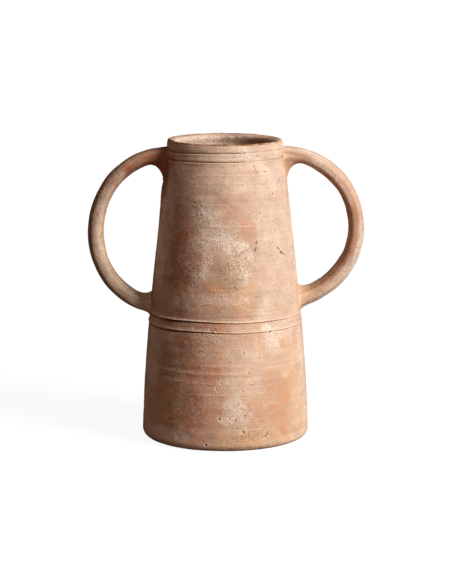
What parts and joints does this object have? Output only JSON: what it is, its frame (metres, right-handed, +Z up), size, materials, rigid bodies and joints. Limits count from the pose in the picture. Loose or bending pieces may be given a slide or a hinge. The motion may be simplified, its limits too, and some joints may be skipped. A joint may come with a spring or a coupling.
{
  "type": "amphora",
  "caption": "Tapered terracotta vase with a grooved belt round its middle, a banded lip and round strap handles at its sides",
  "frame": {"origin": "centre of the flat foot, on the surface that the vase stands on", "axes": "+Z up along the vase's axis, +X towards the right handle, -Y towards the front"},
  "size_m": [0.2945, 0.178, 0.32],
  "materials": {
    "body_terracotta": "matte, unglazed",
    "band_terracotta": "matte, unglazed",
    "handle_terracotta": "matte, unglazed"
  },
  "bodies": {
    "root": {"base_disc": "body_terracotta", "lower_wall": "body_terracotta", "belt_ring": "band_terracotta", "upper_wall": "body_terracotta", "neck_band": "band_terracotta", "lip_ring": "band_terracotta", "left_handle": "handle_terracotta", "right_handle": "handle_terracotta", "left_top_root": "handle_terracotta", "left_bottom_root": "handle_terracotta", "right_top_root": "handle_terracotta", "right_bottom_root": "handle_terracotta"}
  },
  "joints": []
}
